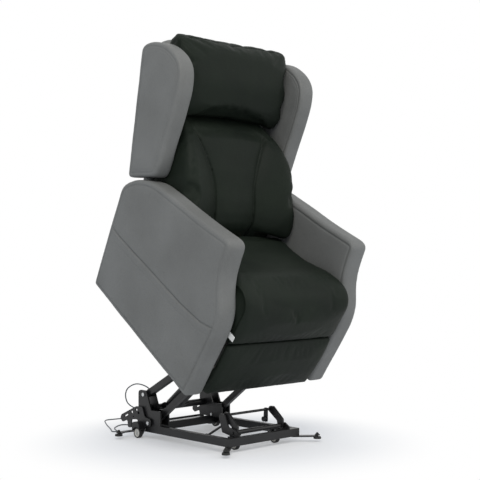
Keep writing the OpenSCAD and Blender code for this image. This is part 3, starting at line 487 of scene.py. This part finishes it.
def leatherette(name, light, dark, roughness, shine):
    """PU-coated knit: soft, with a pebbled grain and a low even sheen, and painted shade that darkens the
    creases between the pebbles. The grain is drawn at 4 mm, coarser than the real 1.5 mm, so that it
    shows."""
    made, tree, shader = shader_of(name, IOR=1.48, Specular_IOR_Level=shine)
    place = node(tree, "TexCoord")
    worn = node(tree, "TexNoise", {"Vector": place.outputs["Object"], "Scale": 6.0, "Detail": 4.0})
    pebble = node(tree, "TexVoronoi", {"Vector": place.outputs["Object"], "Scale": 250.0},
                  feature="DISTANCE_TO_EDGE")
    crease = node(tree, "MapRange", {"Value": pebble.outputs["Distance"], "From Max": 0.12})
    tone = node(tree, "ValToRGB", {"Fac": worn.outputs["Fac"]})
    tone.color_ramp.elements[0].position = 0.3
    tone.color_ramp.elements[0].color = linear(dark)
    tone.color_ramp.elements[1].position = 0.7
    tone.color_ramp.elements[1].color = linear(light)
    # Painted shade: the creases between the pebbles are painted darker, down to 0.8 of the tone, as if in
    # shadow
    depth = node(tree, "MapRange", {"Value": crease.outputs["Result"], "To Min": 0.8, "To Max": 1.0})
    shade = node(tree, "HueSaturation", {"Color": tone.outputs["Color"], "Value": depth.outputs["Result"]})
    tree.links.new(shade.outputs["Color"], shader.inputs["Base Color"])
    dull = node(tree, "MapRange", {"Value": worn.outputs["Fac"], "To Min": roughness - 0.06,
                                   "To Max": roughness + 0.06})
    tree.links.new(dull.outputs["Result"], shader.inputs["Roughness"])
    hand = node(tree, "TexNoise", {"Vector": place.outputs["Object"], "Scale": 45.0, "Detail": 3.0})
    broad = node(tree, "Bump", {"Height": hand.outputs["Fac"], "Strength": 0.25, "Distance": 0.003})
    fine = node(tree, "Bump", {"Height": crease.outputs["Result"], "Strength": 0.2, "Distance": 0.0006,
                               "Normal": broad.outputs["Normal"]})
    tree.links.new(fine.outputs["Normal"], shader.inputs["Normal"])
    return made


dark_leatherette = leatherette("charcoal_leatherette", "#1c231c", "#151b16", 0.55, 0.12)


def upholster(piece, material, slot, body, fill, *nodes):
    """Gives a padded piece its cover and its place on the chair."""
    piece.data.materials.append(material)
    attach(piece, body)
    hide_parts(*nodes)


# Where the cover is held, in seat points: under the foam, under the front roll and at the rear
FOAM_BASE, ROLL_BACK, ROLL_BASE, SEAT_REAR = 0.305, 0.66, 0.242, 0.240
SIDE_BAND = 0.010           # from the widest point of the cover in to the seam of its side band

seat = soft_copy("seat_cushion_cover", "seat_cushion", voxel=0.0065)
_, fwd, up = to_seat(points_of(seat)).T
under = ((up < FOAM_BASE) & (fwd < ROLL_BACK)) | (up < ROLL_BASE)
swell(seat, under | (fwd < SEAT_REAR), pressure=4.0, cap=0.012)
finer(seat)
place = to_seat(points_of(seat))
x, _, up = place.T
band = x.max() - SIDE_BAND - np.abs(x)
piping = -0.0070 * valley(band, width=0.011) + 0.0015 * valley(band + 0.008, width=0.010)
pulled = 0.0016 * cloud_at(place * np.array([1.0, 0.25, 0.25]), patch=0.011, seed=2.0)
pulled *= np.exp(-np.clip(up + 0.005 - ROLL_BASE, 0, None) / 0.012)
creases = 0.0008 * cloud_at(place * np.array([0.6, 1.6, 1.0]), patch=0.07, seed=9.0)
press(seat, piping + pulled + creases)
upholster(seat, dark_leatherette, "dark_leatherette", "seat_unit", 0.8, "seat_cushion")


# ---- Textile tab ----
# A folded strip of white woven ribbon, left blank, sewn into the seam at the front edge of the seat.
# The weave gives it fine level ribs.
ribbon, tree, shader = shader_of("woven_ribbon", IOR=1.5, Roughness=0.8)
place = node(tree, "TexCoord")
weave = node(tree, "TexWave", {"Vector": place.outputs["Object"], "Scale": 300.0}, bands_direction="Z")
tone = node(tree, "ValToRGB", {"Fac": weave.outputs["Fac"]})
tone.color_ramp.elements[0].color = linear("#d9d9d6")
tone.color_ramp.elements[1].color = linear("#f0f0ee")
tree.links.new(tone.outputs["Color"], shader.inputs["Base Color"])
dress(ribbon, "care_tab")


# ---- Side panels ----
# Foam-padded boards in mid-grey leatherette: a face each side, joined by a strip that rolls over
# the edge and is topstitched 20 mm in. A pocket is sewn on the outer face.
grey_leatherette = leatherette("grey_leatherette", "#747573", "#686967", 0.55, 0.35)


def outline_at(name, x):
    """The outline of a CAD solid cut at x, as a closed loop of seat points [fwd, up]."""
    cut = bmesh.new()
    cut.from_mesh(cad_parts[name].data)
    bmesh.ops.remove_doubles(cut, verts=cut.verts, dist=0.00005)
    made = bmesh.ops.bisect_plane(cut, geom=cut.verts[:] + cut.edges[:] + cut.faces[:],
                                  plane_co=(x, 0, 0), plane_no=(1, 0, 0))["geom_cut"]
    edges = {e for e in made if isinstance(e, bmesh.types.BMEdge)}
    corner = next(iter(edges)).verts[0]
    loop = [corner.co.copy()]
    while edges:
        following = next((e for e in corner.link_edges if e in edges), None)
        if following is None:
            break
        edges.discard(following)
        corner = following.other_vert(corner)
        loop.append(corner.co.copy())
    cut.free()
    return to_seat(np.array(loop))[:, 1:]


def distance_to(points, line):
    """Distance of 2-D points from a line of 2-D points."""
    best = np.full(len(points), 1e9)
    for a, b in zip(line, line[1:]):
        d = b - a
        t = np.clip(((points - a) @ d) / max(d @ d, 1e-12), 0, 1)
        best = np.minimum(best, np.linalg.norm(points - a - t[:, None] * d, axis=1))
    return best


FACING = 0.6                # a point whose normal is at least this far sideways lies on a face


def board_cover(name, voxel):
    """The cover of a padded board, its points, how far in from the board's rim each lies, and how
    flat on a face of the board it is, 0 to 1."""
    low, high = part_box(name)
    rim = outline_at(name, (low.x + high.x) / 2)
    cover = soft_copy(name + "_cover", name, voxel, smooth=8)
    finer(cover)
    place = to_seat(points_of(cover))
    flat = np.clip((np.abs(points_of(cover, "normal")[:, 0]) - FACING) / 0.3, 0, 1)
    return cover, place, distance_to(place[:, 1:], rim), flat


def crown(inside, seam, flat):
    """How far the foam stands proud within the seam of a board's cover."""
    return 0.0035 * (1 - np.exp(-np.clip(inside - seam, 0, 1) / 0.03)) * flat


PANEL_SEAM = 0.020
# Upper hem of the pocket, as seat points [fwd, up]
POCKET = [(-0.042, 0.248), (0.035, 0.246), (0.257, 0.252), (0.465, 0.258), (0.589, 0.270), (0.653, 0.290)]
HEM_W = 0.027
for side, name in ((-1, "side_panel_right"), (1, "side_panel_left")):
    panel, place, inside, flat = board_cover(name, voxel=0.007)
    seam = -0.0022 * valley(inside - PANEL_SEAM, width=0.008) * flat
    roll = 0.0015 * valley(inside - 0.008, width=0.026)
    soft = 0.0012 * cloud_at(points_of(panel), patch=0.11, seed=3.0)
    outwards = side * points_of(panel, "normal")[:, 0]
    below = np.interp(place[:, 1], *zip(*POCKET)) - place[:, 2]
    hem = -0.0035 * valley(below + 0.003, width=0.008) - 0.0012 * valley(below - HEM_W, width=0.006)
    pocket = np.where((outwards > FACING) & (inside > PANEL_SEAM), 0.0030 * (below > 0) + hem, 0.0)
    press(panel, crown(inside, PANEL_SEAM, flat) + seam + roll + soft + pocket)
    upholster(panel, grey_leatherette, "grey_leatherette", "seat_unit", 0.9, name)


# ---- Back shell ----
# The padded outside of the backrest: a board under foam and grey leatherette, which is drawn down at
# the top corners.
CORNER_DROP, CORNER_W = 0.026, 0.060        # how far the cover is drawn down at its top corners

shell = soft_copy("back_shell_cover", "back_shell", voxel=0.008, smooth=8)
finer(shell)
press(shell, 0.0012 * cloud_at(points_of(shell), patch=0.12, seed=5.0))
place = to_seat(points_of(shell))
from_side, from_top = place[:, 0].max() - np.abs(place[:, 0]), place[:, 2].max() - place[:, 2]
drawn = np.clip(1 - from_side / CORNER_W, 0, 1) ** 2 * np.exp(-(from_top / 0.05) ** 2)
place[:, 2] -= CORNER_DROP * drawn
move_to(shell, from_seat(place))
upholster(shell, grey_leatherette, "grey_leatherette", "backrest", 0.9, "back_shell")


# ---- Back cushion ----
# A fibre-filled panel in dark leatherette with two deep sewn channels, which mark off a centre
# panel and two side bolsters.
BACK_LEAN = math.radians(25.4)
BACK_FOOT = (0.055, 0.300)          # lower front edge of the back shell, fwd and up
PANEL_WAIST, PANEL_FLARE = 0.104, 0.102     # half width of the centre panel, and what it gains
FLARE_FROM, FLARE_H = 0.540, 0.200
CUSHION_FOOT, TUCK = 0.330, 0.021


def shell_face(up):
    """How far forward the front face of the back shell is at each height."""
    return BACK_FOOT[0] - (up - BACK_FOOT[1]) * math.tan(BACK_LEAN)


def facing(piece, fwd=0.0, up=0.0):
    """How squarely each vertex faces a direction along the seat, 0 to 1."""
    _, y, z = points_of(piece, "normal").T
    c, s = math.cos(SEAT_TILT), math.sin(SEAT_TILT)
    return np.clip(fwd * (-y * c - z * s) + up * (-y * s + z * c), 0, 1)


back = soft_copy("back_cushion_cover", "back_cushion", voxel=0.0065)
_, fwd, up = to_seat(points_of(back)).T
swell(back, fwd < shell_face(up) + 0.010, pressure=4.0, cap=0.010)
finer(back)
place = to_seat(points_of(back))
x, _, up = place.T
channel = PANEL_WAIST + PANEL_FLARE * np.clip((up - FLARE_FROM) / FLARE_H, 0, None) ** 1.6
aside = np.abs(x) - channel
sewn = -0.0080 * valley(aside, width=0.015) + 0.0012 * valley(aside, width=0.045)
creases = 0.0018 * cloud_at(place * np.array([1.0, 1.0, 0.5]), patch=0.06, seed=4.0)
press(back, (sewn + creases) * facing(back, fwd=1.0))
# Its lower edge is tucked down behind the seat, so that the joint stays closed when the back reclines
place = to_seat(points_of(back))
place[:, 2] -= TUCK * np.clip((CUSHION_FOOT - place[:, 2]) / 0.014, 0, 1)
move_to(back, from_seat(place))
upholster(back, dark_leatherette, "dark_leatherette", "backrest", 0.7, "back_cushion")


# ---- Head pillow ----
# A full, soft pillow in dark leatherette, stuffed with fibre, with a welt sewn round it. It is joined
# to the top of the back along an arched lower edge.
WELT_OUT = 0.080            # the welt runs round the pillow this far in front of the back shell
PINCH_R = 0.024             # reach of the pinched top corners
PINCH_OUT, PINCH_UP = 0.005, 0.010
PINCH_FWD = -0.205          # where, from front to back, the corners are drawn together
PINCH_BELOW = 0.022         # from the top of the pillow down to its corners

pillow = soft_copy("head_pillow_cover", "head_pillow", voxel=0.0065)
_, fwd, up = to_seat(points_of(pillow)).T
swell(pillow, fwd < shell_face(up) + 0.006, pressure=4.0, cap=0.012, slack=0.007)
finer(pillow)
place = to_seat(points_of(pillow))
# Its lower face is sewn down onto the top of the back cushion
place[:, 2] -= 0.011 * facing(pillow, up=-1.0)
# The top corners of the cover are pinched out by the seam that runs over them
widest, _, top = place.max(axis=0)
beside, above = widest - np.abs(place[:, 0]), top - place[:, 2] - PINCH_BELOW
corner = np.exp(-(beside / PINCH_R) ** 2 - (above / PINCH_R) ** 2)
place[:, 0] += np.sign(place[:, 0]) * PINCH_OUT * corner
wavy = 0.0013 * cloud_at(place * np.array([1.0, 0, 0]), patch=0.045, seed=1.0) * np.exp(-above / 0.03)
place[:, 2] += PINCH_UP * corner + wavy
place[:, 1] += 0.5 * corner * (PINCH_FWD - place[:, 1])
move_to(pillow, from_seat(place))
welt = place[:, 1] - shell_face(place[:, 2]) - WELT_OUT
turned = np.clip(1.3 - 2.0 * facing(pillow, fwd=1.0), 0, 1)
pulled = 0.0011 * cloud_at(place * np.array([1.0, 0.2, 1.0]), patch=0.014, seed=8.0)
pulled *= np.exp(-np.abs(welt) / 0.014)
fanned = 0.0011 * np.sin(16 * np.arctan2(above, beside)) * np.exp(-(np.hypot(beside, above) / 0.045) ** 2)
press(pillow, (-0.0035 * valley(welt, width=0.012) + pulled) * turned + fanned * (1 - turned))
upholster(pillow, dark_leatherette, "dark_leatherette", "backrest", 0.7, "head_pillow")


# ---- Wings ----
# Padded boards like the side panels, with a second row of stitches, bolted to the edges of the back
# shell.
WING_SEAM, WING_STITCH = 0.018, 0.027
for name in ("wing_right", "wing_left"):
    wing, place, inside, flat = board_cover(name, voxel=0.0065)
    seam = valley(inside - WING_SEAM, width=0.008) + 0.6 * valley(inside - WING_STITCH, width=0.006)
    soft = 0.0012 * cloud_at(points_of(wing), patch=0.09, seed=7.0)
    press(wing, crown(inside, WING_SEAM, flat) - 0.0022 * seam * flat + soft)
    upholster(wing, grey_leatherette, "grey_leatherette", "backrest", 0.9, name)


# ---- Legrest pad ----
# Thin padding under dark leatherette, wrapped round the edges of the legrest board and stapled
# behind it.
PAD_BACK, PAD_FRONT, PAD_TOP = 0.678, 0.690, 0.226
WRAP, WRAP_EDGE, WRAP_TOP = 0.020, 0.018, 0.120     # how far it wraps back, from the edge, up to here

pad = soft_copy("legrest_pad_cover", "legrest_pad", voxel=0.0055)
_, fwd, up = to_seat(points_of(pad)).T
swell(pad, (fwd < PAD_BACK) | (up > PAD_TOP - 0.006), pressure=4.0, cap=0.006, slack=0.003)
finer(pad)
place = to_seat(points_of(pad))
_, fwd, up = place.T
slant = place @ np.array([[1.0, 0.0, 0.25], [0.0, 1.0, 0.0], [-0.25, 0.0, 1.0]])
wrinkles = 0.0006 * cloud_at(slant * np.array([1.6, 1.0, 0.5]), patch=0.06, seed=6.0)
pulled = 0.0006 * cloud_at(place * np.array([1.0, 0.25, 0.25]), patch=0.013, seed=4.0)
pulled *= np.exp(-np.minimum(up + 0.003, PAD_TOP - up) / 0.010)
press(pad, np.where(fwd > PAD_BACK - 0.010, wrinkles + pulled, 0.0))
# At its lower corners the cover is drawn back round the edge of the board
place = to_seat(points_of(pad))
beside = place[:, 0].max() - np.abs(place[:, 0])
round_edge = np.clip((WRAP_EDGE - beside) / 0.008, 0, 1) * np.clip((PAD_FRONT - place[:, 1]) / 0.010, 0, 1)
place[:, 1] -= WRAP * round_edge * np.clip((WRAP_TOP - place[:, 2]) / 0.040, 0, 1)
move_to(pad, from_seat(place))
upholster(pad, dark_leatherette, "dark_leatherette", "legrest", 0.6, "legrest_pad")


# ---- Studio ----
# A matt white floor, one broad soft lamp from the front left and a weaker one from the right.
bpy.ops.object.select_all(action="DESELECT")
bpy.ops.mesh.primitive_plane_add(size=30.0, location=(0, 0, 0))
floor = bpy.context.object
floor.name = "studio_floor"
floor_paint, tree, shader = shader_of("matt_floor_paint", Roughness=0.9, Specular_IOR_Level=0.1)
place = node(tree, "TexCoord")
scuff = node(tree, "TexNoise", {"Vector": place.outputs["Object"], "Scale": 1.5, "Detail": 2.0})
tone = node(tree, "ValToRGB", {"Fac": scuff.outputs["Fac"]})
tone.color_ramp.elements[0].color = linear("#f3f4f6")
tone.color_ramp.elements[1].color = linear("#f7f8fa")
tree.links.new(tone.outputs["Color"], shader.inputs["Base Color"])


def seen_directly(tree):
    """1 where a camera, glossy or transmission ray meets the surface, so that it shows as backdrop."""
    ray = node(tree, "LightPath")
    mirror = node(tree, "Math", {0: ray.outputs["Is Glossy Ray"], 1: ray.outputs["Is Transmission Ray"]},
                  operation="MAXIMUM")
    seen = node(tree, "Math", {0: ray.outputs["Is Camera Ray"], 1: mirror.outputs["Value"]},
                operation="MAXIMUM")
    return seen.outputs["Value"]


# The floor is plain paint under the chair, with its shadow, and fades into the white backdrop
reach = node(tree, "VectorMath", {0: place.outputs["Object"]}, operation="LENGTH")
fade = node(tree, "MapRange", {"Value": reach.outputs["Value"], "From Min": 0.35, "From Max": 0.85,
                               "To Min": 0.3, "To Max": 1.0}, interpolation_type="SMOOTHSTEP")
share = node(tree, "Math", {0: fade.outputs["Result"], 1: seen_directly(tree)}, operation="MULTIPLY")
backdrop = node(tree, "Emission", {"Color": linear("#ffffff"), "Strength": 1.0})
both = node(tree, "MixShader", {0: share.outputs["Value"], 1: shader.outputs["BSDF"],
                                2: backdrop.outputs["Emission"]})
tree.links.new(both.outputs["Shader"], tree.nodes["Material Output"].inputs["Surface"])
floor.data.materials.append(floor_paint)

world = bpy.data.worlds.new("studio")
scene.world = world
world.use_nodes = True
tree = world.node_tree
tree.nodes.clear()
white = node(tree, "Background", {"Color": linear("#ffffff"), "Strength": 1.0})
room = node(tree, "Background", {"Color": linear("#e6eef9"), "Strength": 0.66})
both = node(tree, "MixShader", {0: seen_directly(tree), 1: room.outputs["Background"],
                                2: white.outputs["Background"]})
node(tree, "OutputWorld", {"Surface": both.outputs["Shader"]})


def lamp(name, place, aim, size, power, tint):
    """A square soft box."""
    data = bpy.data.lights.new(name, "AREA")
    data.color = linear(tint)[:3]
    data.shape = "SQUARE"
    data.size = size
    data.energy = power
    made = bpy.data.objects.new(name, data)
    made.location = place
    made.rotation_euler = (Vector(aim) - Vector(place)).to_track_quat("-Z", "Y").to_euler()
    scene.collection.objects.link(made)


lamp("key", (-2.0, -2.6, 3.9), (0, 0, 0.7), 2.6, 102, "#fffaf2")
lamp("fill", (2.4, -3.2, 2.4), (0, 0, 0.7), 2.2, 22, "#fffaf2")
